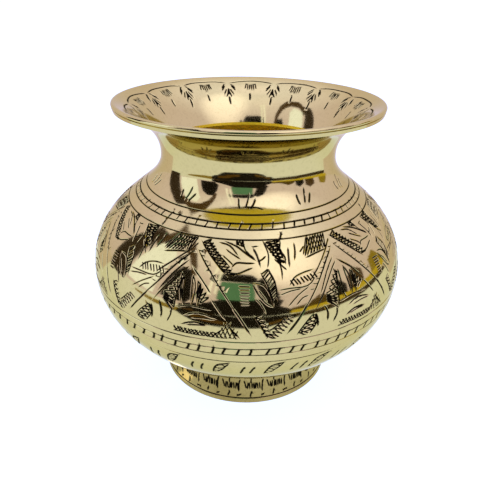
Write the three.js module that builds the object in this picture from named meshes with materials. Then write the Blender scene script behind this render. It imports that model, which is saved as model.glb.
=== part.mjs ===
// A brass kalash: a round-bellied water pot with a waisted neck, a wide flared
// mouth and a low foot ring. Millimetres, +Z up, origin at the middle of the
// foot, on the surface that the pot stands on. Four turned shells are joined by
// rings of braze that run round the inside of each seam.

import * as THREE from 'three';

// Driving dimensions

const SIDES = 48; // facets round each shell
const GAP = 0.3; // clearance between neighbouring pieces at a joint
const WALL = 1.5; // thickness of the body's sheet
const CURVE_STEPS = 7; // straight pieces in each curved stretch of a profile

const FOOT_RADIUS = 36.2;
const FOOT_JOINT_RADIUS = 34.8;
const FOOT_JOINT_HEIGHT = 12.3;
const FOOT_JOINT_PITCH = 49.8; // degrees from outward, going up the bowl
const FOOT_WALL = 1.7;
const FOOT_LINE_HEIGHT = 2.6; // turned line just above the foot's bead
const BOTTOM_HEIGHT = 6; // underside of the bowl at the axis

const BELLY_RADIUS = 62.2;
const BELLY_HEIGHT = 51.6;
const SHOULDER_RADIUS = 44.8; // where the shoulder runs in most steeply
const SHOULDER_HEIGHT = 80.8;
const SHOULDER_PITCH = 142.2; // degrees from outward, going up the wall
const SEAM_HEIGHT = 85.2; // collar's seam, under the topmost turned line
const SEAM_DROP = 1.2; // how much lower the collar's seam is on the inside

const WAIST_RADIUS = 33.5;
const WAIST_HEIGHT = 95.9;
const THROAT_RADIUS = 32; // narrowest place inside
const THROAT_HEIGHT = 97.5;
const COLLAR_RADIUS = 37.4; // where the neck opens into the mouth
const COLLAR_HEIGHT = 106.1;
const COLLAR_PITCH = 48.4;

const LIP_RADIUS = 50;
const LIP_TOP = 115.2;
const LIP_LAND = 0.5; // width of the flat on top of the lip
const LIP_BEAD = 0.72; // radius of the lip's bead
const LIP_UNDER_RADIUS = 48.9;
const LIP_UNDER_HEIGHT = 112.3;

const BRAZE_WIDTH = 3.2;
const BRAZE_THICKNESS = 0.8;

// Profile helpers: a profile is a list of (radius, height) points

const at = (radius, height) => new THREE.Vector2(radius, height);

function toward(point, degrees, length) {
  const angle = THREE.MathUtils.degToRad(degrees);
  return at(point.x + length * Math.cos(angle), point.y + length * Math.sin(angle));
}

function curve(from, fromHandle, toHandle, to, steps = CURVE_STEPS) {
  return new THREE.CubicBezierCurve(from, fromHandle, toHandle, to).getPoints(steps);
}

function chain(...stretches) {
  return stretches.reduce((all, next) => all.concat(next.slice(1)));
}

// The same profile moved sideways, to the left of its own direction.
function offset(points, distance) {
  return points.map((point, i) => {
    const before = points[Math.max(i - 1, 0)];
    const after = points[Math.min(i + 1, points.length - 1)];
    const along = after.clone().sub(before).normalize();
    return at(point.x - along.y * distance, point.y + along.x * distance);
  });
}

// The stretch of a rising profile between two heights, cut cleanly at each.
function between(points, low, high) {
  const kept = points.filter((point) => point.y > low && point.y < high);
  const cut = (height) => {
    const i = points.findIndex((point) => point.y >= height);
    const [a, b] = [points[i - 1], points[i]];
    return a.clone().lerp(b, (height - a.y) / (b.y - a.y));
  };
  if (points[0].y < low) kept.unshift(cut(low));
  if (points.at(-1).y > high) kept.push(cut(high));
  return kept;
}

// Outlines of the pot's outside, from the foot up to the lip

const footJoint = at(FOOT_JOINT_RADIUS, FOOT_JOINT_HEIGHT);
const belly = at(BELLY_RADIUS, BELLY_HEIGHT);
const shoulder = at(SHOULDER_RADIUS, SHOULDER_HEIGHT);
const waist = at(WAIST_RADIUS, WAIST_HEIGHT);
const collar = at(COLLAR_RADIUS, COLLAR_HEIGHT);
const lipUnder = at(LIP_UNDER_RADIUS, LIP_UNDER_HEIGHT);

const underside = curve(
  at(0, BOTTOM_HEIGHT),
  at(16, BOTTOM_HEIGHT),
  toward(footJoint, FOOT_JOINT_PITCH, -5),
  footJoint
);

const bowl = curve(
  footJoint,
  toward(footJoint, FOOT_JOINT_PITCH, 8.8),
  toward(belly, 90, -23.7),
  belly,
  CURVE_STEPS + 3
);

const shoulderWall = chain(
  curve(belly, toward(belly, 90, 16.4), toward(shoulder, SHOULDER_PITCH, -6.2), shoulder),
  curve(shoulder, toward(shoulder, SHOULDER_PITCH, 10.6), toward(waist, 90, -6.1), waist)
);

// The bowl's outside moved out by the gap that its neighbours keep.
const bowlSeat = offset(chain(underside, bowl), -GAP);

const neckWall = chain(
  curve(waist, toward(waist, 90, 3.1), toward(collar, COLLAR_PITCH, -4.7), collar, 5),
  curve(collar, toward(collar, COLLAR_PITCH, 4.2), toward(lipUnder, 16, -5), lipUnder, 5)
);

// Shells

function lathe(name, profile, colour, roughness) {
  const closed = [...profile, profile[0].clone()];
  const geometry = new THREE.LatheGeometry(closed, SIDES);
  geometry.rotateX(Math.PI / 2);
  const brass = new THREE.MeshStandardMaterial({ color: colour, roughness, metalness: 1 });
  const mesh = new THREE.Mesh(geometry, brass);
  mesh.name = name;
  return mesh;
}

// Rounded bead, turned line and thick edge of the lip, from below to the top.
function lipEdge() {
  const beadCentre = at(LIP_RADIUS - LIP_BEAD, LIP_TOP - LIP_BEAD);
  const landOuter = beadCentre.x + 0.1;
  return [
    at(LIP_UNDER_RADIUS + 0.35, LIP_UNDER_HEIGHT + 0.2),
    at(LIP_RADIUS - 0.15, LIP_TOP - 1.5),
    at(LIP_RADIUS - 0.5, LIP_TOP - 1.25),
    toward(beadCentre, -30, LIP_BEAD),
    toward(beadCentre, 0, LIP_BEAD),
    toward(beadCentre, 45, LIP_BEAD),
    at(landOuter, LIP_TOP),
    at(landOuter - LIP_LAND, LIP_TOP)
  ];
}

// Inside of the mouth, from the lip down through the throat.
function mouthInside() {
  const lip = at(48.4, LIP_TOP - 0.15);
  const middle = at(36, 107.4);
  const throat = at(THROAT_RADIUS, THROAT_HEIGHT);
  return chain(
    curve(lip, toward(lip, 196, 4.6), toward(middle, 50, 4), middle, 5),
    curve(middle, toward(middle, 230, 3.6), toward(throat, 90, 3.6), throat, 5)
  );
}

// Flared lip and neck, in one turned piece down to the collar's seam.
function mouthCollar() {
  const neckBase = between(shoulderWall, SEAM_HEIGHT + GAP / 2, Infinity);
  const outside = chain(neckBase, neckWall);
  const insideBase = between(offset(shoulderWall, WALL), SEAM_HEIGHT + GAP / 2 - SEAM_DROP, 95);
  const inside = [...mouthInside(), ...insideBase.reverse()];
  return lathe('mouth_collar', [...outside, ...lipEdge(), ...inside], 0xd9c98f, 0.22);
}

// Shoulder of the pot, from the belly's seam up to the collar's seam.
function upperBody() {
  const low = BELLY_HEIGHT + GAP / 2;
  const outside = between(shoulderWall, low, SEAM_HEIGHT - GAP / 2);
  const inside = between(offset(shoulderWall, WALL), low, SEAM_HEIGHT - GAP / 2 - SEAM_DROP);
  return lathe('upper_body', [...outside, ...inside.reverse()], 0xd8ca92, 0.2);
}

// Bowl of the pot, closed at the bottom.
function lowerBody() {
  const outside = between(chain(underside, bowl), BOTTOM_HEIGHT - 1, BELLY_HEIGHT - GAP / 2);
  const inside = between(offset(outside, WALL), 0, BELLY_HEIGHT - GAP / 2);
  inside[0] = at(0, BOTTOM_HEIGHT + WALL);
  return lathe('lower_body', [...outside, ...inside.reverse()], 0xcfc38c, 0.22);
}

// Hollow foot ring, with a turned line above its bead.
function footRing() {
  const lineRadius = THREE.MathUtils.lerp(
    FOOT_RADIUS,
    FOOT_JOINT_RADIUS,
    FOOT_LINE_HEIGHT / FOOT_JOINT_HEIGHT
  );
  const seat = between(bowlSeat, FOOT_JOINT_HEIGHT - 1.5, FOOT_JOINT_HEIGHT - 0.3);
  return lathe(
    'foot_ring',
    [
      at(FOOT_RADIUS - FOOT_WALL, 0),
      at(FOOT_RADIUS - 0.3, 0),
      at(FOOT_RADIUS, 0.4),
      at(lineRadius + 0.1, FOOT_LINE_HEIGHT - 0.4),
      at(lineRadius - 0.3, FOOT_LINE_HEIGHT),
      at(lineRadius, FOOT_LINE_HEIGHT + 0.4),
      ...seat.reverse()
    ],
    0xb39a55,
    0.3
  );
}

// A flat ring of braze along the inside of a seam in the body's wall.
function seamBraze(name, wall, seamHeight) {
  const low = seamHeight - BRAZE_WIDTH / 2;
  const high = seamHeight + BRAZE_WIDTH / 2;
  const outer = between(offset(wall, WALL + GAP), low, high);
  const inner = between(offset(wall, WALL + GAP + BRAZE_THICKNESS), low, high);
  return lathe(name, [...outer, ...inner.reverse()], 0xa9853f, 0.5);
}

// A fillet of braze in the corner between the bowl and the foot ring.
function footBraze() {
  const underBowl = between(bowlSeat, FOOT_JOINT_HEIGHT - 3.2, FOOT_JOINT_HEIGHT - 1.9);
  const toe = at(underBowl.at(-1).x, FOOT_JOINT_HEIGHT - 4);
  return lathe('foot_braze', [toe, ...underBowl.reverse()], 0xa9853f, 0.5);
}

const kalash = new THREE.Group();
kalash.name = 'kalash';
kalash.add(mouthCollar());
kalash.add(upperBody());
kalash.add(lowerBody());
kalash.add(footRing());
kalash.add(seamBraze('neck_braze', shoulderWall, SEAM_HEIGHT - SEAM_DROP));
kalash.add(seamBraze('belly_braze', chain(bowl, shoulderWall), BELLY_HEIGHT));
kalash.add(footBraze());

export default kalash;
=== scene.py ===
"""Looks of the brass kalash: engraved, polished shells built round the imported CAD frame.

Lengths are millimetres and angles are degrees until a mesh is made. On each turned
surface a point is (azimuth, run): azimuth is measured from the front, positive to the
right, and run is the distance along the profile from where that profile starts.
Colours are linear, and the stage is in metres.
"""

import math
import random

import bpy
import numpy as np
from mathutils import Matrix
from mathutils.geometry import delaunay_2d_cdt


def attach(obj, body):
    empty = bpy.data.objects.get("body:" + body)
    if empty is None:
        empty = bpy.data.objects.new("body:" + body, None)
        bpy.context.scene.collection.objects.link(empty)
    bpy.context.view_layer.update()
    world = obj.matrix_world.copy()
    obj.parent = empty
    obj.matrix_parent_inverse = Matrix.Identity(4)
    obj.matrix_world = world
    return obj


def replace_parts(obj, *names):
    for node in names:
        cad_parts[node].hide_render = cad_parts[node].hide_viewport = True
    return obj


MM = 0.001
NEAR = 1e-6
WALL = 1.5              # thickness of the brass

COLUMNS = 240           # columns of a sheet, all the way round
STEP = 360.0 / COLUMNS
OVERLAP = 4 * STEP      # how far cuts and columns run past the back before they are trimmed
ROW_SPACING = 1.9       # between the rows of an engraved sheet
DEGREE = 0.9            # a middling length of one degree round the pot, for even triangles
EDGE_REACH = 2e-3       # points this close to the edge of a sheet belong on it
MERGE_REACH = 1e-4      # points this close become one as a sheet is triangulated
WELD_GRID = 2000        # grid lines per mm on which the points of a shell are welded

CUT_DEPTH = 0.2
SPREAD = 1.35           # width of a cut at the surface, over the graver's width
HAND = 0.1              # how far the engraver's hand strays, in degrees and mm
TAPER = 0.12            # share of a straight cut that narrows at each end
BENT_TAPER = 7          # a bent cut narrows over one part in this many at each end
CUT_SLOPE = 1.04        # how steeply a cut deepens from its side to its middle
FULL_HALF = 0.28        # half-width at which a cut has its full depth
DEEPEST = 1.3           # share of the full depth that the widest cuts reach
SHALLOWEST = 0.05       # share of the full depth below which nothing is cut
DARKENING = 1.6         # how much sooner a cut is dark than it is deep

PITCH = 51.43           # degrees from one gable to the next: seven go round
FINE = {"width": 0.5}
THIN = {"width": 0.46}

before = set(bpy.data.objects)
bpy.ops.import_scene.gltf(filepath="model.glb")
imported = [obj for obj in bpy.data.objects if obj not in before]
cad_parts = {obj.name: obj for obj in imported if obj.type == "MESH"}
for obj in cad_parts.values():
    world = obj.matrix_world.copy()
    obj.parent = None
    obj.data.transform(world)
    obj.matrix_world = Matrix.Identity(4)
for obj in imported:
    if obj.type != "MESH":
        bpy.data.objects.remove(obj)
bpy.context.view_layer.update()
rng = random.Random(7)


# ---------------------------------------------------------------- profiles

def toward(point, degrees, length):
    """The point that is so far away in the given direction."""
    angle = math.radians(degrees)
    return (point[0] + length * math.cos(angle), point[1] + length * math.sin(angle))


def curve(a, b, c, d, steps):
    """A cubic curve from a to d, which b and c pull towards themselves."""
    t = np.linspace(0, 1, steps + 1)[:, None]
    a, b, c, d = (np.array(p, float) for p in (a, b, c, d))
    u = 1 - t
    return u**3 * a + 3 * u * u * t * b + 3 * u * t * t * c + t**3 * d


def arc(centre, radius, start, end, steps):
    angles = np.radians(np.linspace(start, end, steps + 1))
    return np.array(centre) + radius * np.stack([np.cos(angles), np.sin(angles)], 1)


def chain(*stretches):
    """One profile from stretches that each start where the last one ended."""
    kept = [np.array(stretches[0], float)]
    kept += [np.array(s, float)[1:] for s in stretches[1:]]
    return np.concatenate(kept)


def run_of(points):
    """Distance along a profile at each of its points."""
    return np.concatenate([[0], np.cumsum(np.hypot(*np.diff(points, axis=0).T))])


def offset(points, distance):
    """The profile moved sideways, towards the axis where it rises."""
    tangent = np.gradient(points, axis=0)
    tangent /= np.hypot(*tangent.T)[:, None]
    return points + distance * np.stack([-tangent[:, 1], tangent[:, 0]], 1)


def between(points, low, high):
    """The stretch of a rising profile between two heights, cut cleanly at each."""
    heights = points[:, 1]
    cut = [[np.interp(h, heights, points[:, 0]), h] for h in (low, high)]
    inner = points[(heights > low + NEAR) & (heights < high - NEAR)]
    return np.concatenate([[cut[0]], inner, [cut[1]]])


# joints of the outline, as (radius, height), from the foot up
foot_joint = (34.8, 12.3)
belly = (62.2, 51.6)
shoulder = (44.8, 80.8)
waist = (33.5, 95.9)
collar = (37.4, 106.1)
lip_under = (48.9, 112.3)
SEAM = 85.2             # height of the seam between the body and the collar
INNER_SEAM = SEAM - 1.2     # the seam slopes down inwards

underside = curve((0, 6), (16, 6), toward(foot_joint, 49.8, -5), foot_joint, 24)
bowl = curve(foot_joint, toward(foot_joint, 49.8, 8.8), toward(belly, 90, -23.7), belly, 60)
shoulder_wall = chain(
    curve(belly, toward(belly, 90, 16.4), toward(shoulder, 141.6, -6.2), shoulder, 60),
    curve(shoulder, toward(shoulder, 141.6, 7), toward(waist, 90, -7), waist, 40),
)
neck_wall = chain(
    curve(waist, toward(waist, 90, 3.1), toward(collar, 48.4, -4.7), collar, 22),
    curve(collar, toward(collar, 48.4, 4.2), toward(lip_under, 16, -5), lip_under, 24),
)
BOWL_RUN = run_of(bowl)[-1]
WALL_RUN = run_of(shoulder_wall)
SEAM_RUN = BOWL_RUN + np.interp(SEAM, shoulder_wall[:, 1], WALL_RUN)


# ---------------------------------------------------------------- strokes

class Strokes:
    """Graver cuts gathered on one turned surface."""

    def __init__(self):
        self.cuts = []

    def add(self, points, width, ink=1.0):
        """A tapered cut through the given points, bent smoothly if there are more than two."""
        points = [(a + rng.gauss(0, HAND), s + rng.gauss(0, HAND)) for a, s in points]
        if len(points) == 2:
            (a0, s0), (a1, s1) = points
            at = [0, TAPER, 1 - TAPER, 1]
            line = [(a0 + (a1 - a0) * t, s0 + (s1 - s0) * t) for t in at]
            full = [0, 1, 1, 0]
        else:
            line, full = smooth(points)
        self.cuts.append((line, [f * SPREAD * width / 2 for f in full], ink))

    def ring(self, run, width, ink):
        """A turned line all the way round."""
        past_back = 180 + OVERLAP
        line = [(a, run) for a in np.arange(-past_back, past_back + 0.1, STEP)]
        self.cuts.append((line, [SPREAD * width / 2] * len(line), ink))

    def ladder(self, rail_a, rail_b, count, lean=0.0, **look):
        """Short cuts from one rail to the other, spaced evenly."""
        for i in range(count):
            t = (i + 0.5) / count
            start = on_rail(rail_a, t)
            end = on_rail(rail_b, min(max(t + lean, 0), 1))
            self.add([start, end], **look)

    def cross(self, rail_a, rail_b, count, lean, **look):
        """Cross-hatching between two rails."""
        self.ladder(rail_a, rail_b, count, lean, **look)
        self.ladder(rail_a, rail_b, count, -lean, **look)


class Motif:
    """Cuts drawn round a centre at the given azimuth."""

    def __init__(self, cuts, centre):
        self.cuts = cuts
        self.centre = centre

    def cut(self, *points, **look):
        self.cuts.add(shifted(points, self.centre), **look)

    def ladder(self, rail_a, rail_b, count, lean=0.0, **look):
        rails = [shifted(rail, self.centre) for rail in (rail_a, rail_b)]
        self.cuts.ladder(*rails, count, lean, **look)

    def cross(self, rail_a, rail_b, count, lean, **look):
        rails = [shifted(rail, self.centre) for rail in (rail_a, rail_b)]
        self.cuts.cross(*rails, count, lean, **look)


def on_rail(rail, t):
    """The point that is the share t of the way along a rail, by its corners."""
    place = t * (len(rail) - 1)
    i = min(int(place), len(rail) - 2)
    (a0, s0), (a1, s1) = rail[i], rail[i + 1]
    return (a0 + (a1 - a0) * (place - i), s0 + (s1 - s0) * (place - i))


def smooth(points, steps=3):
    """A Catmull-Rom line through the points, with the share of full width at each."""
    p = [np.array(q, float) for q in points]
    p = [2 * p[0] - p[1]] + p + [2 * p[-1] - p[-2]]
    line = []
    for i in range(1, len(p) - 2):
        for k in range(steps):
            t = k / steps
            line.append(0.5 * (
                2 * p[i] + (p[i + 1] - p[i - 1]) * t
                + (2 * p[i - 1] - 5 * p[i] + 4 * p[i + 1] - p[i + 2]) * t * t
                + (3 * p[i] - p[i - 1] - 3 * p[i + 1] + p[i + 2]) * t**3
            ))
    line.append(p[-2])
    t = np.linspace(0, 1, len(line))
    full = np.clip(np.minimum(t, 1 - t) * BENT_TAPER, 0, 1)
    return [tuple(q) for q in line], list(full)


def shifted(points, by):
    return [(a + by, s) for a, s in points]


def repeats(count, first, stray):
    """The azimuth of each repeat of a border, from the back round to the back."""
    for k in range(count):
        yield first + (k - count // 2) * 360 / count + rng.gauss(0, stray)


# ---------------------------------------------------------------- motifs

def gable(cuts, tip):
    """One steep gable of the frieze and the leaves under it, with its tip at an azimuth."""
    motif = Motif(cuts, tip)
    cut, cross = motif.cut, motif.cross
    # outer edge of the gable and the hatched ground on both sides of its tip
    cut((0.2, 82), (6, 76.6), (12.5, 70.2), width=0.5)
    cut((2.8, 83), (7.6, 78), (13.2, 73.2), **THIN)
    cross([(0.8, 81.4), (12, 70.7)], [(4.4, 82.6), (15, 71.2)], 12, 0.1, **FINE)
    cut((0, 80.6), (-3.2, 77.2), **THIN)
    cut((-3.2, 77), (-8, 76.4), (-13, 75.2), width=0.5)
    cut((-9.4, 83), (-11.4, 79.6), (-13.2, 76.2), **THIN)
    cross([(-9.4, 82.9), (-0.4, 82.9)], [(-12.6, 75.9), (-3.4, 77.2)], 7, 0.26, **FINE)
    # plain band, then the corded line down to both feet
    cut((-0.4, 80), (-9, 71.6), (-13, 67.8), **THIN)
    cut((-0.4, 78), (-6, 72.2), (-11, 65.4), (-16, 59), width=0.52)
    cut((-14, 61.6), (-17.6, 56.6), (-21.6, 51), width=0.72)
    cut((0.2, 78.6), (5, 73), (11, 65.6), (16, 58.8), width=0.52)
    cut((14, 61.6), (17, 57), (20.4, 51), width=0.72)
    for i in range(9):
        t = i / 9
        cut((-1 - 12.4 * t, 77.3 - 13.8 * t), (-2 - 12.4 * t, 77.4 - 13.8 * t), width=0.34)
        cut((0.8 + 11 * t, 77.9 - 13.6 * t), (1.9 + 11 * t, 78 - 13.6 * t), width=0.34)
    # inner gable
    cut((-0.8, 72.8), (-5, 68.6), (-12.8, 57.2), width=0.5)
    cut((-1.4, 74.6), (-6, 69.4), (-10.6, 62), **THIN)
    cut((-0.8, 73), (4, 68.6), (8, 64.2), width=0.62)
    cut((7.6, 63.4), (10, 60), (12.4, 56.6), width=0.5)
    left_strip = [(-2.4, 70.6), (-8.2, 62.6), (-8.2, 60.4)]
    cross(left_strip, [(-2.2, 68.4), (-3.6, 62), (-4, 57)], 9, 0.16, **FINE)
    cut((-2.2, 69), (-3.4, 63.4), (-3.8, 57), **THIN)
    cross([(3.4, 68.2), (7.8, 63)], [(2.8, 64), (4.4, 61)], 4, 0.3, **FINE)
    # pointed leaves standing inside it
    for top, foot, bend in ((-1.6, -0.8, -1.3), (0.8, 1.2, 1.4), (3, 3.2, 1.1)):
        high = 71 - abs(top) * 0.9
        cut((top, high), (top + bend, 66), (foot + bend * 0.5, 59.6), width=0.5)
        cut((top, high), (top + bend * 0.1, 66.4), (foot + bend * 0.3, 60), width=0.44)
    cut((-2.6, 66.4), (-1.6, 62.6), (-0.6, 59), width=0.5)
    # grass below the hatched strip
    cut((-12.2, 57.6), (-11.4, 55), (-11.6, 52.2), width=0.72)
    cut((-9.2, 59.4), (-8, 56.6), (-8.2, 53.4), width=0.72)
    cut((-4.6, 57.6), (-4.8, 55.2), (-6.4, 52.4), width=0.56)
    # hatched kite beside the left foot
    cross([(-12.6, 57.2), (-16.4, 53.4), (-18, 50.6)],
          [(-12.2, 56.4), (-12, 53.2), (-14.8, 49.8)], 6, 0.16, **FINE)
    cut((-12.6, 57.4), (-11.8, 54), (-14.6, 49.8), width=0.46)
    cut((-12.8, 57.2), (-16.2, 53.8), (-18.4, 50.4), width=0.46)
    # arched leaves and the comb along the bottom line
    cut((-1.4, 53), (2.6, 54.7), (7.6, 54.1), width=0.66)
    cut((0.2, 53.3), (3.6, 53.8), (7, 53.9), **THIN)
    cut((-0.6, 56.3), (4.4, 57.9), (10, 56.6), width=0.6)
    cut((1.6, 56), (5.6, 56.6), (9.6, 56.3), **THIN)
    cut((-4, 58.6), (2, 60), (8.4, 59.4), **THIN)
    for i in range(12):
        a = -3.8 + i * 1.16
        cut((a, 52.2), (a + 2, 49.2), width=0.56)
        if i < 11:
            cut((a + 2.2, 52), (a, 49.4), width=0.5)
    for i in range(6):
        a = 9 + i * 1.3
        tall = 6.4 - abs(i - 2.6) * 1.5
        cut((a + 1.4 - 0.5 * i, 50.4 + tall), (a + 2.8, 49.4), width=0.46)
        cut((a + 2.2 - 0.3 * i, 50.4 + tall), (a - 0.8, 49.8), width=0.42)


def spray(cuts, centre):
    """The leaves that hang between two gables, round an azimuth."""
    motif = Motif(cuts, centre)
    cut, ladder, cross = motif.cut, motif.ladder, motif.cross
    # leaves to the left of the spray
    cut((-9.6, 82.2), (-8.2, 79), (-5, 76.2), width=0.52)
    cut((-17, 82.2), (-12, 80.8), (-8, 78.2), (-4.6, 75.6), width=0.56)
    cut((-16, 79.6), (-13, 78), (-9.8, 76.2), **THIN)
    cut((-17, 77.6), (-14, 75.6), (-12.4, 74.2), **THIN)
    cut((-13.2, 73.2), (-11.6, 75), (-8, 75.1), (-4.8, 75.1), width=0.52)
    cut((-14.6, 71.2), (-11, 71.6), (-8, 72.8), (-5.8, 73.6), width=0.52)
    cross([(-12.6, 83), (-9, 83)], [(-12, 81.2), (-9.4, 80.4)], 3, 0.3, **FINE)
    # spray of the middle
    cut((-5.8, 80.4), (-4.2, 77.4), (-3.2, 73.4), width=0.62)
    cut((-5.8, 80.5), (-4.4, 80.9), width=0.4)
    cut((-1, 77.6), (-2.6, 76.2), (-4.4, 75.4), width=0.5)
    cut((-2.2, 83.2), (-0.2, 78.6), (-0.4, 75.8), (-0.9, 73.4), width=0.48)
    # upright cross-hatched leaf under the ring
    cut((-1.8, 82.8), (0.2, 79.6), (3, 76), (3.7, 72), (3.6, 69), width=0.46)
    cut((5.2, 83), (4.4, 79.4), (5.6, 76.6), (5.5, 74), width=0.52)
    cross([(-1.4, 82.6), (0.2, 78.6), (3, 75.4)], [(5.2, 82.6), (4.5, 79.4), (5.5, 74.6)],
          7, 0.16, **FINE)
    cut((-0.2, 82.8), (2.6, 78.6), (4, 73.6), **FINE)
    cut((2.4, 82.8), (4, 79), (5.2, 75.6), **FINE)
    cut((1.6, 76.4), (5.6, 72.2), **THIN)
    cut((5.9, 84.6), (5.3, 83.4), width=0.6)
    cut((7.4, 80), (7.2, 77), (6.6, 72.9), width=0.62)
    cut((10.4, 81.5), (9.9, 78.4), (8.9, 75), width=0.56)
    cut((11.6, 77.6), (14, 79.6), **THIN)
    # hatched fan and the full leaf under it
    ladder([(-3.4, 71.8), (-0.8, 67), (0.3, 63)], [(-1, 73), (1.3, 68), (1.5, 63.4)],
           11, -0.1, **FINE)
    cut((-1, 73.2), (1.1, 69), (1.6, 62.6), width=0.5)
    cut((-3.4, 72), (-1.4, 67.6), (0.4, 61.6), width=0.5)
    cut((-6.2, 68.9), (-2.6, 68), (-0.4, 64.6), (0.2, 61), width=0.6)
    cut((-6.2, 68.9), (-4.6, 65.6), (-2, 62.2), (0.2, 61), width=0.6)
    cut((-4.4, 66.8), (-3, 64.8), (-1.4, 62.6), **THIN)
    cut((-5.4, 64), (-3.6, 61.8), (-2, 58.6), width=0.52)
    ladder([(-10.6, 68), (-9.8, 61.4)], [(-6.6, 68), (-7, 61.4)], 7, **FINE)
    # leaf with a comb, to the right
    cut((5.4, 66.9), (7.6, 69.8), (11, 70.9), (15.4, 71.4), width=0.5)
    cut((1.6, 66), (6, 66.3), (12, 66.6), (15.4, 69.2), width=0.5)
    for i in range(8):
        a = 6 + i * 1.2
        rise = i * 0.26
        cut((a, 69.2 + rise * 0.7), (a + 1.4, 66.9 + rise * 0.8), width=0.5)
    cut((1.8, 64.4), (6, 65.6), (10, 65.8), **THIN)
    cut((4.2, 60.2), (8.4, 63.8), (13, 66.4), width=0.46)
    cut((7, 60.6), (9.6, 62.8), (12, 63.4), **THIN)
    # leaf that leans on the next gable's right slope
    cut((-19, 81.8), (-14.4, 80.6), (-10.6, 77), width=0.5)
    # hatched wedges between the feet
    cross([(-5.6, 58.4), (-2, 50.6)], [(-3.4, 58.8), (0.6, 50)], 6, 0.14, **FINE)
    cut((-5.8, 58.6), (-3.4, 54.6), (-1.2, 50.2), width=0.5)
    cross([(-1.6, 51.6), (4.4, 58.4)], [(1, 49.6), (6.8, 56.6)], 7, 0.1, width=0.46)
    cut((-1.4, 52.6), (1.6, 55.2), (3.6, 57.6), **THIN)


def frieze(cuts):
    """Seven gables with leaves between them, and the ladder between the shoulder's rings."""
    for k in range(-3, 4):
        gable(cuts, -18.5 + PITCH * k + 0.9 * math.sin(2.1 * k))
        spray(cuts, 8.0 + PITCH * k + 0.7 * math.sin(1.7 * k))
    for a in repeats(73, 1.6, 0.25):
        lean = rng.gauss(0.55, 0.2)
        top = 89 + max(0, rng.gauss(0.1, 0.4))
        cuts.add([(a + lean, top), (a - lean * 0.6, 86.9)], width=0.54)


def lower_borders(cuts):
    """Ladder under the belly, and the row of leaves below it."""
    for a in repeats(88, 2, 0.3):
        cuts.add([(a + 0.5, 46), (a + 0.1, 44.6), (a - 0.5, 43.1)], width=1.05)
    for a in repeats(21, -8, 0.3):
        foot = [(a - 3.2, 29.4), (a - 2.6, 33.4), (a - 1, 36.6), (a + 2.6, 38.4)]
        back = [(a - 2, 30.2), (a + 0.4, 33.4), (a + 1.6, 35.6), (a + 3, 38.2)]
        cuts.add(foot, width=0.8)
        cuts.add(back, width=0.7)
        cuts.ladder(foot, back, 6, 0.2, width=0.5)
        cuts.ladder(foot, back, 3, -0.2, width=0.44, ink=0.9)
        for shift in (7, 10.4):
            b = a + shift
            cuts.add([(b + 1.2, 36.6), (b - 0.1, 33.6), (b - 0.8, 29.8)], width=1.0)


def shoulder_tufts(cuts):
    """Tufts of three strokes round the foot of the neck."""
    for a in repeats(11, -1, 0.4):
        cuts.add([(a - 4.2, 98.2), (a - 4, 96), (a - 3.4, 94.2)], width=0.66)
        cuts.add([(a + 1.6, 100), (a + 0.6, 97), (a - 0.8, 94.2)], width=0.6)
        cuts.add([(a + 5, 98), (a + 3.4, 96), (a + 1.6, 94)], width=0.64)
    cuts.add([(-3, 94.9), (4, 95), (8, 93.9)], width=0.46)


def mouth_border(cuts):
    """Scallops, fans and sprigs round the inside of the mouth."""
    count = 13
    half = 180 / count
    for k in range(count):
        c = 110 + k * 360 / count + rng.gauss(0, 0.3)
        c = (c + 180) % 360 - 180
        arch = [(c, 4.9), (c + half * 0.45, 3.7), (c + half, 3.3),
                (c + half * 1.55, 3.7), (c + 2 * half, 4.9)]
        cuts.add(arch, width=0.72)
        for m in (-1, 1):
            for a0, s0, a1, s1 in ((1.5, 12, 0.5, 10.2), (2.9, 10.9, 1.2, 8.3),
                                   (4.3, 9.2, 2, 6.6), (3.7, 7.4, 2.2, 5.8)):
                cuts.add([(c + m * a1, s1), (c + m * a0, s0)], width=0.66)
        cuts.add([(c, 15), (c + 0.1, 12.6)], width=0.9)
        cuts.add([(c, 11.2), (c, 7.8)], width=0.66)
        d = c + half
        for i in range(6):
            lean = (i - 2.5) * 1.3
            top = 8.7 - abs(i - 2.5) * 0.3
            cuts.add([(d + lean * 0.85, 5.9), (d + lean, top)], width=0.62)
        cuts.add([(d, 13.8), (d + 0.2, 11)], width=0.8)


def foot_border(cuts):
    """Upright strokes, combs and dots round the foot."""
    for a in repeats(24, -3, 0.3):
        cuts.add([(a + 0.7, 11.8), (a - 0.2, 8.6), (a, 4.8)], width=0.8)
        cuts.add([(a + 3, 11), (a + 4, 8.8), (a + 4.8, 7)], width=0.76)
        cuts.add([(a + 8, 11.8), (a + 7.8, 10.4)], width=0.74)
        for i in range(7):
            b = a + 5.6 + i * 1.32
            cuts.add([(b, 9.5), (b + 0.1, 7)], width=0.66)
        cuts.add([(a - 0.6, 3.7), (a + 1, 4.1)], width=0.85)
        cuts.add([(a + 7.4, 3.5), (a + 7.9, 4.7)], width=0.9)


# ---------------------------------------------------------------- engraved sheets

def stroke_outline(cut, radius):
    """Points and joining lines of one cut, as (azimuth, run) in degrees and mm."""
    line, halves, _ = cut
    line = np.array(line, float)
    scale = np.radians(1) * radius(line[:, 1])
    flat = np.stack([line[:, 0] * scale.mean(), line[:, 1]], 1)
    tangent = np.gradient(flat, axis=0)
    tangent /= np.maximum(np.hypot(*tangent.T), 1e-9)[:, None]
    side = np.stack([-tangent[:, 1] / scale, tangent[:, 0]], 1)
    points = [tuple(p) for p in line]
    joins = [(i, i + 1) for i in range(len(line) - 1)]
    for sign in (1, -1):
        previous = None
        for i, half in enumerate(halves):
            if half < NEAR:
                here = i
            else:
                points.append(tuple(line[i] + sign * half * side[i]))
                here = len(points) - 1
            if previous is not None:
                joins.append((previous, here))
            previous = here
    return points, joins


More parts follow.
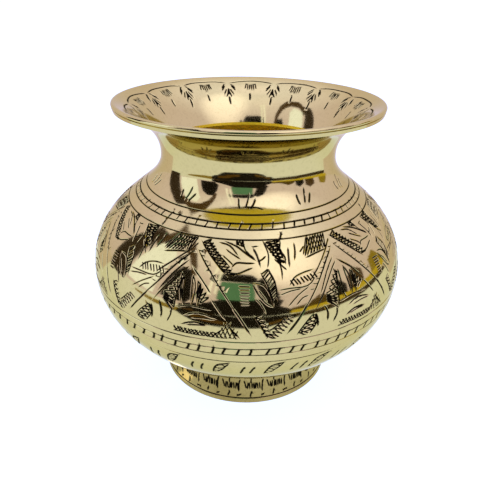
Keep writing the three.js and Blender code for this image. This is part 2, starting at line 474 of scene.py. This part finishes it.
def wrapped(cuts):
    """The cuts, with a copy a full turn away of any that cross the back."""
    for line, halves, ink in cuts:
        low, high = min(a for a, _ in line), max(a for a, _ in line)
        if high - low > 360:
            yield line, halves, ink
            continue
        reach = 180 + OVERLAP / 2
        for turn in (-360, 0, 360):
            if high + turn > -reach and low + turn < reach:
                yield shifted(line, turn), halves, ink


def cut_depths(points, cuts, radius):
    """Depth as a share of full depth, and darkness, at each (azimuth, run) point."""
    order = np.argsort(points[:, 0])
    azimuth, run = points[order, 0], points[order, 1]
    depth, ink = np.zeros(len(points)), np.zeros(len(points))
    for line, halves, dark in cuts:
        for (a0, s0), (a1, s1), h0, h1 in zip(line, line[1:], halves, halves[1:]):
            scale = math.radians(1) * float(radius((s0 + s1) / 2))
            reach = max(h0, h1) / scale + 1e-3
            i = np.searchsorted(azimuth, min(a0, a1) - reach)
            j = np.searchsorted(azimuth, max(a0, a1) + reach)
            x, y = (azimuth[i:j] - a0) * scale, run[i:j] - s0
            dx, dy = (a1 - a0) * scale, s1 - s0
            t = np.clip((x * dx + y * dy) / max(dx * dx + dy * dy, 1e-9), 0, 1)
            half = h0 + (h1 - h0) * t
            gone = np.hypot(x - t * dx, y - t * dy) / np.maximum(half, NEAR)
            share = np.clip(CUT_SLOPE * (1 - gone), 0, 1)
            share = share * np.minimum(half / FULL_HALF, DEEPEST)
            share[share < SHALLOWEST] = 0
            depth[i:j] = np.maximum(depth[i:j], share)
            ink[i:j] = np.maximum(ink[i:j], np.minimum(share * DARKENING, 1) * dark)
    back = np.empty(len(points), int)
    back[order] = np.arange(len(points))
    return depth[back], ink[back]


def engraved_sheet(low, high, cuts, radius):
    """Triangulates the band between two runs along every cut: points and triangles."""
    points, joins = [], []
    extra = round(OVERLAP / STEP)
    columns = np.arange(-COLUMNS // 2 - extra, COLUMNS // 2 + extra + 1) * STEP
    for run in (low, high):
        first = len(points)
        points += [(a, run) for a in columns]
        joins += [(first + i, first + i + 1) for i in range(len(columns) - 1)]
    rows = max(2, round((high - low) / ROW_SPACING))
    for row in range(1, rows):
        run = low + (high - low) * row / rows
        shift = 0.5 * (row % 2)
        points += [(a + shift * STEP, run) for a in columns]
    for edge in (-180.0, 180.0):
        first = len(points)
        points += [(edge, low + (high - low) * i / (2 * rows)) for i in range(2 * rows + 1)]
        joins += [(first + i, first + i + 1) for i in range(2 * rows)]
    for cut in cuts:
        more, lines = stroke_outline(cut, radius)
        first = len(points)
        points += more
        joins += [(first + i, first + j) for i, j in lines]
    flat = [(a * DEGREE, s) for a, s in points]
    made = delaunay_2d_cdt(flat, joins, [], 0, MERGE_REACH, False)
    sheet = np.array([(v[0] / DEGREE, v[1]) for v in made[0]], float)
    faces = np.array([f for f in made[2] if len(f) == 3], int)
    middle = sheet[faces].mean(axis=1)
    inside = (np.abs(middle[:, 0]) < 180) & (middle[:, 1] > low) & (middle[:, 1] < high)
    faces = faces[inside]
    used, faces = np.unique(faces, return_inverse=True)
    return snapped(sheet[used], low, high), faces.reshape(-1, 3)


def snapped(sheet, low, high):
    """Puts edge points exactly on the edges, so that neighbouring sheets share them."""
    for run in (low, high):
        edge = np.abs(sheet[:, 1] - run) < EDGE_REACH
        sheet[edge, 1] = run
        column = np.round(sheet[edge, 0] / STEP)
        sheet[edge, 0] = column * STEP
    left = np.where(np.abs(sheet[:, 0] + 180) < EDGE_REACH)[0]
    right = np.where(np.abs(sheet[:, 0] - 180) < EDGE_REACH)[0]
    sheet[left, 0] = -180
    sheet[right, 0] = 180
    left = left[np.argsort(sheet[left, 1])]
    for i in right:
        nearest = left[np.argmin(np.abs(sheet[left, 1] - sheet[i, 1]))]
        sheet[i, 1] = sheet[nearest, 1]
    return sheet


def plain_sheet(runs):
    """A regular grid of columns at the given runs: points and quads."""
    azimuth = np.arange(-COLUMNS // 2, COLUMNS // 2 + 1) * STEP
    wide = len(azimuth)
    sheet = np.array([(a, s) for s in runs for a in azimuth], float)
    i = (np.arange(len(runs) - 1)[:, None] * wide + np.arange(wide - 1)[None]).ravel()
    return sheet, np.stack([i, i + 1, i + wide + 1, i + wide], 1)


class Shell:
    """A closed turned shell, gathered stretch by stretch round its section."""

    def __init__(self):
        self.points, self.ink, self.faces = [], [], []
        self.corner_normals, self.skins = [], []
        self.count = 0

    def stretch(self, profile, start=0.0, engraved=None, skin=0):
        """Adds a stretch of section. Engraved is its cuts and the two runs they lie between."""
        profile = np.array(profile, float)
        runs = run_of(profile) + start
        tangent = np.gradient(profile, runs, axis=0)
        normal = np.stack([tangent[:, 1], -tangent[:, 0]], 1)
        normal /= np.hypot(*normal.T)[:, None]
        place = (runs, profile, normal, skin)
        if engraved is None:
            self.sheet(*plain_sheet(runs), place)
            return
        cuts, low, high = engraved
        below = runs[runs < low - NEAR]
        above = runs[runs > high + NEAR]
        if len(below):
            self.sheet(*plain_sheet(np.append(below, low)), place)
        cut_list = list(wrapped(cuts.cuts))

        def radius(run):
            return np.interp(run, runs, profile[:, 0])

        sheet, faces = engraved_sheet(low, high, cut_list, radius)
        share, ink = cut_depths(sheet, cut_list, radius)
        edge = (np.abs(sheet[:, 1] - low) < NEAR) | (np.abs(sheet[:, 1] - high) < NEAR)
        share[edge] = 0
        self.sheet(sheet, faces, place, share * CUT_DEPTH, ink)
        if len(above):
            self.sheet(*plain_sheet(np.insert(above, 0, high)), place)

    def sheet(self, sheet, faces, place, depth=None, ink=None):
        """Wraps a flat sheet round the axis, sunk along the surface's normals by the depth."""
        runs, profile, normal, skin = place
        azimuth = np.radians(np.where(sheet[:, 0] >= 180 - 1e-9, -180, sheet[:, 0]))
        r = np.interp(sheet[:, 1], runs, profile[:, 0])
        z = np.interp(sheet[:, 1], runs, profile[:, 1])
        nr = np.interp(sheet[:, 1], runs, normal[:, 0])
        nz = np.interp(sheet[:, 1], runs, normal[:, 1])
        size = np.hypot(nr, nz)
        nr, nz = nr / size, nz / size
        depth = np.zeros(len(r)) if depth is None else depth
        ink = np.zeros(len(r)) if ink is None else ink
        rr, zz = r - depth * nr, z - depth * nz
        sin, cos = np.sin(azimuth), np.cos(azimuth)
        self.points.append(np.stack([rr * sin, -rr * cos, zz], 1))
        normals = np.stack([nr * sin, -nr * cos, nz], 1)
        self.ink.append(ink)
        plain = depth[faces].max(axis=1) < NEAR
        for face, smooth_face in zip(faces.tolist(), plain.tolist()):
            self.faces.append([i + self.count for i in face])
            self.corner_normals.append(normals[face] if smooth_face else None)
            self.skins.append(skin)
        self.count += len(r)

    def build(self, name, materials):
        """Welds the sheets into one mesh. Engraved faces are shaded flat, the rest smooth."""
        points = np.concatenate(self.points)
        ink = np.concatenate(self.ink)
        keys = np.round(points * WELD_GRID).astype(np.int64)
        _, first, where = np.unique(keys, axis=0, return_index=True, return_inverse=True)
        where = where.reshape(-1)
        faces, normals, skins = [], [], []
        for face, corner, skin in zip(self.faces, self.corner_normals, self.skins):
            kept = []
            for k, i in enumerate(face):
                w = int(where[i])
                if w not in [x for x, _ in kept]:
                    kept.append((w, k))
            if len(kept) >= 3:
                faces.append([w for w, _ in kept])
                skins.append(skin)
                normals.append(None if corner is None else [corner[k] for _, k in kept])
        mesh = bpy.data.meshes.new(name)
        mesh.from_pydata((points[first] * MM).tolist(), [], faces)
        mesh.polygons.foreach_set("use_smooth", [True] * len(mesh.polygons))
        layer = mesh.attributes.new("engraving", "FLOAT", "POINT")
        layer.data.foreach_set("value", ink[first].astype(np.float32))
        loops = []
        for polygon, corner in zip(mesh.polygons, normals):
            if corner is None:
                loops += [tuple(polygon.normal)] * polygon.loop_total
            else:
                loops += [tuple(n) for n in corner]
        mesh.normals_split_custom_set(loops)
        mesh.update()
        for material in materials:
            mesh.materials.append(material)
        mesh.polygons.foreach_set("material_index", skins)
        piece = bpy.data.objects.new(name, mesh)
        bpy.context.scene.collection.objects.link(piece)
        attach(piece, "root")
        return piece


# ---------------------------------------------------------------- materials

# sockets of the Mix node, which can't be told apart by name
SHARE, NUMBER_A, NUMBER_B, COLOUR_A, COLOUR_B = 0, 2, 3, 6, 7
NUMBER_OUT, COLOUR_OUT = 0, 2


def node(tree, kind, inputs=None, **settings):
    """A new node, with its settings and with each input linked or set."""
    made = tree.nodes.new(kind)
    for key, value in settings.items():
        setattr(made, key, value)
    for key, value in (inputs or {}).items():
        if isinstance(value, bpy.types.NodeSocket):
            tree.links.new(value, made.inputs[key])
        else:
            made.inputs[key].default_value = value
    return made


def mixed(tree, share, a, b, blend="MIX"):
    made = node(tree, "ShaderNodeMix", {SHARE: share, COLOUR_A: a, COLOUR_B: b},
                data_type="RGBA", blend_type=blend)
    return made.outputs[COLOUR_OUT]


def total(tree, a, b):
    return node(tree, "ShaderNodeMath", {0: a, 1: b}, operation="ADD").outputs[0]


def noise(tree, place, scale, detail):
    made = node(tree, "ShaderNodeTexNoise", {"Vector": place, "Scale": scale, "Detail": detail})
    return made.outputs["Fac"]


def ramp(tree, source, stops):
    made = node(tree, "ShaderNodeValToRGB", {"Fac": source})
    elements = made.color_ramp.elements
    while len(elements) < len(stops):
        elements.new(0.5)
    for element, (position, colour) in zip(elements, stops):
        element.position = position
        element.color = (*colour, 1)
    return made.outputs["Color"]


def scaled(tree, factor, low, high):
    made = node(tree, "ShaderNodeMapRange", {"Value": factor, "To Min": low, "To Max": high})
    return made.outputs["Result"]


CUT_DIRT = (0.006, 0.004, 0.002, 1)         # what polishing leaves in a cut
SPECULAR_TINT = (0.78, 0.75, 0.53, 1)       # brass stays golden at a glancing angle


def brass(name, light, deep, roughness, engraved=True, tarnish=0.3):
    """Polished brass: hand-rubbed, a little uneven, and dark in the bottom of each cut."""
    material = bpy.data.materials.new(name)
    material.use_nodes = True
    tree = material.node_tree
    shader = tree.nodes["Principled BSDF"]
    place = node(tree, "ShaderNodeTexCoord").outputs["Object"]
    around = node(tree, "ShaderNodeMapping", {"Vector": place, "Scale": (60, 60, 2600)})
    broad = noise(tree, place, 34.0, 4.0)
    speck = noise(tree, place, 900.0, 3.0)
    turning = noise(tree, around.outputs["Vector"], 1.0, 2.0)
    # colour: two shades, specks of tarnish, dirt in the cuts
    shades = ramp(tree, broad, [(0.3, deep), (0.62, light)])
    spots = ramp(tree, speck, [(0.5, (0, 0, 0)), (0.75, (tarnish,) * 3)])
    stain = (*[c * 0.7 for c in deep], 1)
    colour = mixed(tree, spots, shades, stain)
    shine = total(tree, scaled(tree, broad, -0.02, 0.03), scaled(tree, turning, 0.0, 0.05))
    rough = total(tree, shine, roughness)
    if engraved:
        cut = node(tree, "ShaderNodeAttribute", attribute_name="engraving").outputs["Fac"]
        dirt = node(tree, "ShaderNodeMapRange", {
            "Value": cut, "From Min": 0.22, "From Max": 0.62}).outputs["Result"]
        colour = mixed(tree, dirt, colour, CUT_DIRT)
        rough = node(tree, "ShaderNodeMix", {
            NUMBER_A: rough, NUMBER_B: 0.6, SHARE: dirt}).outputs[NUMBER_OUT]
    shader.inputs["Metallic"].default_value = 1.0
    shader.inputs["Specular Tint"].default_value = SPECULAR_TINT
    tree.links.new(colour, shader.inputs["Base Color"])
    tree.links.new(rough, shader.inputs["Roughness"])
    # surface: slow unevenness, with the fine marks of turning on top
    wave = node(tree, "ShaderNodeBump", {"Height": broad, "Strength": 0.03, "Distance": 0.002})
    marks = node(tree, "ShaderNodeBump", {
        "Height": turning, "Strength": 0.02, "Distance": 0.0002,
        "Normal": wave.outputs["Normal"]})
    tree.links.new(marks.outputs["Normal"], shader.inputs["Normal"])
    return material


# ---------------------------------------------------------------- the pot

def build_pot():
    polished = brass("polished_brass", (0.59, 0.485, 0.19), (0.56, 0.455, 0.17), 0.05)
    # the foot's brass is darker than the body's: partly painted shade, for the belly's shadow on
    # the floor that it mirrors, and partly a duller bronze tone
    shaded_foot_bronze = brass("foot_brass", (0.42, 0.32, 0.10), (0.30, 0.22, 0.06), 0.2, tarnish=0.5)
    inside = brass("inside_brass", (0.95, 0.74, 0.05), (0.88, 0.64, 0.03), 0.32,
                   engraved=False)
    # under the lip the brass is a deeper gold: a painted reflection, for the lip and neck
    # mirrored in each other again and again
    under_lip = brass("under_lip_painted_reflection", (0.74, 0.58, 0.05), (0.68, 0.5, 0.03), 0.08,
                      engraved=False)
    solder = brass("braze", (0.42, 0.30, 0.12), (0.34, 0.23, 0.09), 0.45, engraved=False)
    mouth_collar((polished, inside, under_lip))
    upper_body((polished, inside))
    lower_body((polished, inside))
    foot_ring((shaded_foot_bronze, shaded_foot_bronze))
    for name in ("neck_braze", "belly_braze", "foot_braze"):
        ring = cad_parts[name]
        ring.data.materials.clear()
        ring.data.materials.append(solder)


# places in a shell's list of materials, where the outside comes first
INSIDE, UNDER_LIP = 1, 2


def mouth_collar(materials):
    shell = Shell()
    # neck, from the seam up to the lip
    tufts = Strokes()
    shoulder_tufts(tufts)
    neck_base = between(shoulder_wall, SEAM, waist[1])
    # from this height up to the lip, the outside takes the deeper gold of the painted reflection
    # under the lip
    painted_reflection_from = 109.4
    shell.stretch(neck_base, SEAM_RUN, (tufts, SEAM_RUN + 0.9, 100.6))
    shell.stretch(between(neck_wall, waist[1], painted_reflection_from))
    shell.stretch(between(neck_wall, painted_reflection_from, lip_under[1]), skin=UNDER_LIP)
    # the lip's upright band, the groove over it and the bead on top
    band_low, band_top = (49.58, 112.55), (49.86, 113.7)
    groove = (49.5, 113.95)
    bead, bead_radius = (49.28, 114.48), 0.72
    crown, inner_crown = (49.28, 115.2), (48.88, 115.2)
    shell.stretch([lip_under, band_low])
    shell.stretch([band_low, band_top])
    shell.stretch([band_top, groove])
    shell.stretch(chain([groove, toward(bead, -30, bead_radius)],
                        arc(bead, bead_radius, -30, 90, 10)))
    inner_edge = (48.4, 115.05)
    shell.stretch([crown, inner_crown, inner_edge])
    # the flare of the mouth, down to the throat
    edge, throat = (32.2, 98.6), (32.0, 97.5)
    flare = curve(inner_edge, toward(inner_edge, 196, 8.1), toward(edge, 65, 9.5), edge, 44)
    border = Strokes()
    mouth_border(border)
    shell.stretch(flare, 0, (border, 2.2, 16.4))
    # inside of the neck, down to the seam
    inner_base = between(offset(shoulder_wall, WALL), INNER_SEAM, 95)[::-1]
    shell.stretch([edge, throat], skin=INSIDE)
    shell.stretch(chain([throat, inner_base[0]], inner_base), skin=INSIDE)
    shell.stretch([inner_base[-1], neck_base[0]], skin=INSIDE)
    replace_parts(shell.build("mouth_collar_engraved", materials),
                "mouth_collar")


def upper_body(materials):
    shell = Shell()
    cuts = Strokes()
    for run, width, ink in ((88.8, 0.56, 1), (86.6, 0.52, 1), (82.95, 0.5, 0.9)):
        cuts.ring(run, width, ink)
    frieze(cuts)
    cuts.ring(SEAM_RUN - 0.35, 0.54, 1)
    outside = between(shoulder_wall, belly[1], SEAM)
    shell.stretch(outside, BOWL_RUN, (cuts, BOWL_RUN, SEAM_RUN))
    inner = between(offset(shoulder_wall, WALL), belly[1], INNER_SEAM)[::-1]
    shell.stretch([outside[-1], inner[0]])
    shell.stretch(inner, skin=INSIDE)
    shell.stretch([inner[-1], outside[0]])
    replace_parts(shell.build("upper_body_engraved", materials),
                "upper_body")


def lower_body(materials):
    shell = Shell()
    cuts = Strokes()
    for run, width, ink in ((48.7, 0.36, 0.6), (45.8, 0.34, 0.6), (43.1, 0.32, 0.5),
                            (39.45, 0.34, 0.4)):
        cuts.ring(run, width, ink)
    lower_borders(cuts)
    # both bottoms start just beside the axis
    bottom, inner_bottom = (0.01, 6), (0.01, 6 + WALL)
    shell.stretch(chain([bottom, underside[1]], underside[1:]))
    shell.stretch(bowl, 0, (cuts, 27.5, BOWL_RUN))
    outline = chain(underside, bowl)
    inner = between(offset(outline, WALL)[2:], 7.6, belly[1])[::-1]
    shell.stretch([belly, inner[0]])
    shell.stretch(inner, skin=INSIDE)
    shell.stretch([inner[-1], inner_bottom], skin=INSIDE)
    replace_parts(shell.build("lower_body_engraved", materials),
                "lower_body")


def foot_ring(materials):
    shell = Shell()
    cuts = Strokes()
    foot_border(cuts)
    cuts.ring(2.4, 0.6, 1)
    inner_sole, outer_sole = (34.5, 0), (35.9, 0)
    low, inner_top = (36.1, 0.4), (33.0, 10.4)
    corner = (36.2, 0)
    outside = np.linspace(low, foot_joint, 14)
    border_top = math.dist(corner, foot_joint) - 0.2
    shell.stretch([inner_sole, outer_sole])
    shell.stretch([outer_sole, low])
    shell.stretch(outside, low[1], (cuts, 0.9, border_top))
    shell.stretch([foot_joint, inner_top])
    shell.stretch([inner_top, inner_sole])
    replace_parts(shell.build("foot_ring_engraved", materials), "foot_ring")


# ---------------------------------------------------------------- stage

POT_MIDDLE = 0.06
# colours of the painted reflections: shapes of the surroundings that only show mirrored in the
# brass
BLACK, BROWN, GOLD = (0.012, 0.01, 0.01), (0.10, 0.06, 0.03), (0.40, 0.31, 0.04)


def bearing(azimuth, elevation):
    """The direction from the pot with the given azimuth and elevation."""
    a, e = math.radians(azimuth), math.radians(elevation)
    return (math.sin(a) * math.cos(e), -math.cos(a) * math.cos(e), math.sin(e))


def shade(name, outline, colour, distance=0.9):
    """A painted reflection card, seen from the pot as the given outline of (azimuth, elevation).
    """
    points = []
    for azimuth, elevation in outline:
        x, y, z = bearing(azimuth, elevation)
        points.append((x * distance, y * distance, z * distance + POT_MIDDLE))
    card(name, points, [list(range(len(points)))], colour)


def floor_shade(name, spans, colour, height=0.0004):
    """A painted reflection card lying on the floor: from near to far, in metres, at each
    azimuth.
    """
    points = []
    for azimuth, near, far in spans:
        a = math.radians(azimuth)
        points += [(math.sin(a) * r, -math.cos(a) * r, height) for r in (near, far)]
    faces = [(2 * i, 2 * i + 1, 2 * i + 3, 2 * i + 2) for i in range(len(spans) - 1)]
    card(name, points, faces, colour)


def card(name, points, faces, colour):
    """A card of one even brightness, which only shows mirrored in the brass."""
    sheet = stage_mesh(name, points, faces, (0, 0, 0), colour, roughness=1, gloss=0)
    sheet.visible_camera = False
    sheet.visible_shadow = False
    sheet.visible_diffuse = False


def stage_mesh(name, points, faces, base, glow, roughness, gloss):
    mesh = bpy.data.meshes.new(name)
    mesh.from_pydata(points, [], faces)
    made = bpy.data.objects.new(name, mesh)
    bpy.context.scene.collection.objects.link(made)
    material = bpy.data.materials.new(name)
    material.use_nodes = True
    shader = material.node_tree.nodes["Principled BSDF"]
    shader.inputs["Base Color"].default_value = (*base, 1)
    shader.inputs["Roughness"].default_value = roughness
    shader.inputs["Specular IOR Level"].default_value = gloss
    shader.inputs["Emission Color"].default_value = (*glow, 1)
    shader.inputs["Emission Strength"].default_value = 1
    mesh.materials.append(material)
    return made


def build_sky():
    """Soft light that brightens overhead, with two soft glows in it."""
    world = bpy.data.worlds.new("studio")
    bpy.context.scene.world = world
    world.use_nodes = True
    tree = world.node_tree
    background = tree.nodes["Background"]
    direction = node(tree, "ShaderNodeTexCoord").outputs["Generated"]
    height = node(tree, "ShaderNodeSeparateXYZ", {0: direction}).outputs["Z"]
    sky = ramp(tree, height, [(0.0, (0.64, 0.58, 0.56)), (0.55, (0.66, 0.60, 0.58)),
                              (0.8, (0.80, 0.78, 0.76)), (0.95, (0.84, 0.86, 0.84)),
                              (1.0, (1.0, 1.0, 1.0))])
    sky = mixed(tree, 1.0, sky, (1.5, 1.5, 2.5, 1), "MULTIPLY")
    for azimuth, elevation, core, reach, colour in (
            (42, 52, 6, 30, (0.7, 0.72, 1.1)), (-24, 60, 3, 14, (0.12, 0.12, 0.16))):
        near = node(tree, "ShaderNodeVectorMath", {0: direction, 1: bearing(azimuth, elevation)},
                    operation="DOT_PRODUCT").outputs["Value"]
        share = node(tree, "ShaderNodeMapRange", {
            "Value": near, "From Min": math.cos(math.radians(reach)),
            "From Max": math.cos(math.radians(core))}, interpolation_type="SMOOTHSTEP")
        sky = mixed(tree, share.outputs["Result"], sky, (*colour, 1), "ADD")
    tree.links.new(sky, background.inputs["Color"])
    background.inputs["Strength"].default_value = 1.0


def build_floor():
    """A pale floor with light of its own, so that it stays even all the way out."""
    reach = 30.0
    corners = [(-reach, -reach, 0), (reach, -reach, 0), (reach, reach, 0), (-reach, reach, 0)]
    floor = stage_mesh("floor", corners, [(0, 1, 2, 3)], (0.16, 0.17, 0.17),
                       (0.87, 0.98, 1.32), roughness=0.9, gloss=0.1)
    floor.location.z = -0.0002


def build_cards():
    """Painted reflections: dark, golden and bright shapes of the surroundings, which the
    polished brass mirrors.
    """
    shade("dark_front", [(-44, -3), (0, -3.4), (30, -3), (30, 2), (22, 8), (25, 15),
                         (12, 18), (-2, 17), (-18, 16), (-26, 10), (-38, 5), (-44, 2)],
          BLACK)
    floor_shade("dark_low", [(-44, 0.42, 0.9), (-36, 0.29, 0.9), (-28, 0.222, 0.9),
                             (-14, 0.213, 0.9), (0, 0.21, 0.9), (10, 0.214, 0.9),
                             (18, 0.25, 0.9), (25, 0.33, 0.9), (31, 0.42, 0.9)], BLACK)
    floor_shade("brown_low", [(-36, 0.36, 0.5), (-24, 0.27, 0.44), (-10, 0.25, 0.3)],
                (0.12, 0.065, 0.015), height=0.0008)
    floor_shade("brown_low_right", [(8, 0.235, 0.27), (16, 0.27, 0.34), (26, 0.36, 0.5)],
                (0.14, 0.08, 0.015), height=0.0008)
    floor_shade("edge_low", [(31, 0.42, 0.95), (60, 0.42, 0.95), (108, 0.5, 0.95)],
                (0.06, 0.04, 0.02))
    floor_shade("edge_low_left", [(-78, 0.7, 0.95), (-60, 0.46, 0.95), (-44, 0.42, 0.95)],
                (0.36, 0.27, 0.05))
    floor_shade("behind", [(a, 0.215, 20) for a in range(108, 253, 12)],
                (0.92, 0.84, 1.16))
    # painted highlight on the foot: a bright patch on the floor just beside it, which the foot
    # mirrors
    floor_shade("foot_glint", [(-58, 0.0375, 0.046), (-46, 0.0375, 0.046)], (2.4, 2.3, 2.6))
    shade("brown_front", [(-44, -4), (-32, -11), (-16, -10), (-20, -3), (-30, 1)], BROWN,
          distance=0.86)
    shade("green_cloth", [(-20, 16), (6, 16), (6, 36), (-19, 36)], (0.13, 0.34, 0.30),
          distance=0.88)
    shade("dark_top", [(-26, 36), (-25, 42), (-18, 45), (5, 45), (9, 41), (7, 36)], BLACK)
    shade("dark_right", [(6, -2), (20, 0), (23, 20), (20, 36), (13, 42), (7, 38), (10, 20)],
          BLACK, distance=0.84)
    shade("dark_left", [(-58, 4), (-58, 30), (-54, 40), (-46, 40), (-38, 28), (-35, 12),
                        (-40, 4)], BLACK)
    shade("arch", [(-94, 40), (-90, 56), (-72, 60), (-54, 54), (-44, 45), (-40, 36),
                   (-43, 35), (-48, 42), (-57, 49), (-72, 52), (-84, 48), (-88, 38)],
          BROWN, distance=0.92)
    shade("door", [(-108, -5), (-108, 20), (-102, 44), (-92, 48), (-90, 20), (-91, -3)],
          (0.05, 0.035, 0.03))
    shade("window", [(-88, 3), (-87, 42), (-76, 49), (-67, 44), (-63, 24), (-64, 2)],
          (1.4, 1.6, 2.5), distance=0.94)
    shade("shelf_a", [(26, 0.5), (30, 4), (40, 5), (50, 12), (56, 8), (60, 1)],
          (0.12, 0.08, 0.02))
    shade("shelf_b", [(58, -4), (60, 13), (66, 19), (71, 10), (70, -3)], BLACK)
    shade("shelf_c", [(72, 1), (74, 15), (82, 20), (88, 13), (86, 1)], BROWN)
    shade("shelf_d", [(94, -2), (97, 13), (106, 14), (110, 3), (104, -5)], GOLD)
    shade("edge_right", [(28, -3), (60, -3), (110, -3), (112, 2), (60, 1.2), (29, 0.5)],
          (0.74, 0.60, 0.06), distance=0.88)
    shade("streak_a", [(-27, 20), (-24.6, 20), (-25, 60), (-28, 60)], (1.5, 1.6, 2.4))
    shade("streak_b", [(-22.4, 22), (-20.6, 22), (-20, 58), (-23, 58)], (1.4, 1.5, 2.2))


def build_camera():
    """A close camera that looks down on the mouth."""
    camera = bpy.data.objects.new("camera", bpy.data.cameras.new("camera"))
    bpy.context.scene.collection.objects.link(camera)
    camera.data.sensor_width = 36
    camera.data.lens = 37.134
    camera.data.clip_start = 0.01
    camera.location = (0, -0.1954, 0.15199)
    turned, down, rolled = -0.381, 27.132, 1.012
    aim = Matrix.Rotation(math.radians(turned), 4, "Z")
    aim = aim @ Matrix.Rotation(math.radians(90 - down), 4, "X")
    aim = aim @ Matrix.Rotation(math.radians(rolled), 4, "Z")
    camera.rotation_mode = "QUATERNION"
    camera.rotation_quaternion = aim.to_quaternion()
    bpy.context.scene.camera = camera
    bpy.context.scene.view_settings.view_transform = "Standard"


build_pot()
build_sky()
build_floor()
build_cards()
build_camera()
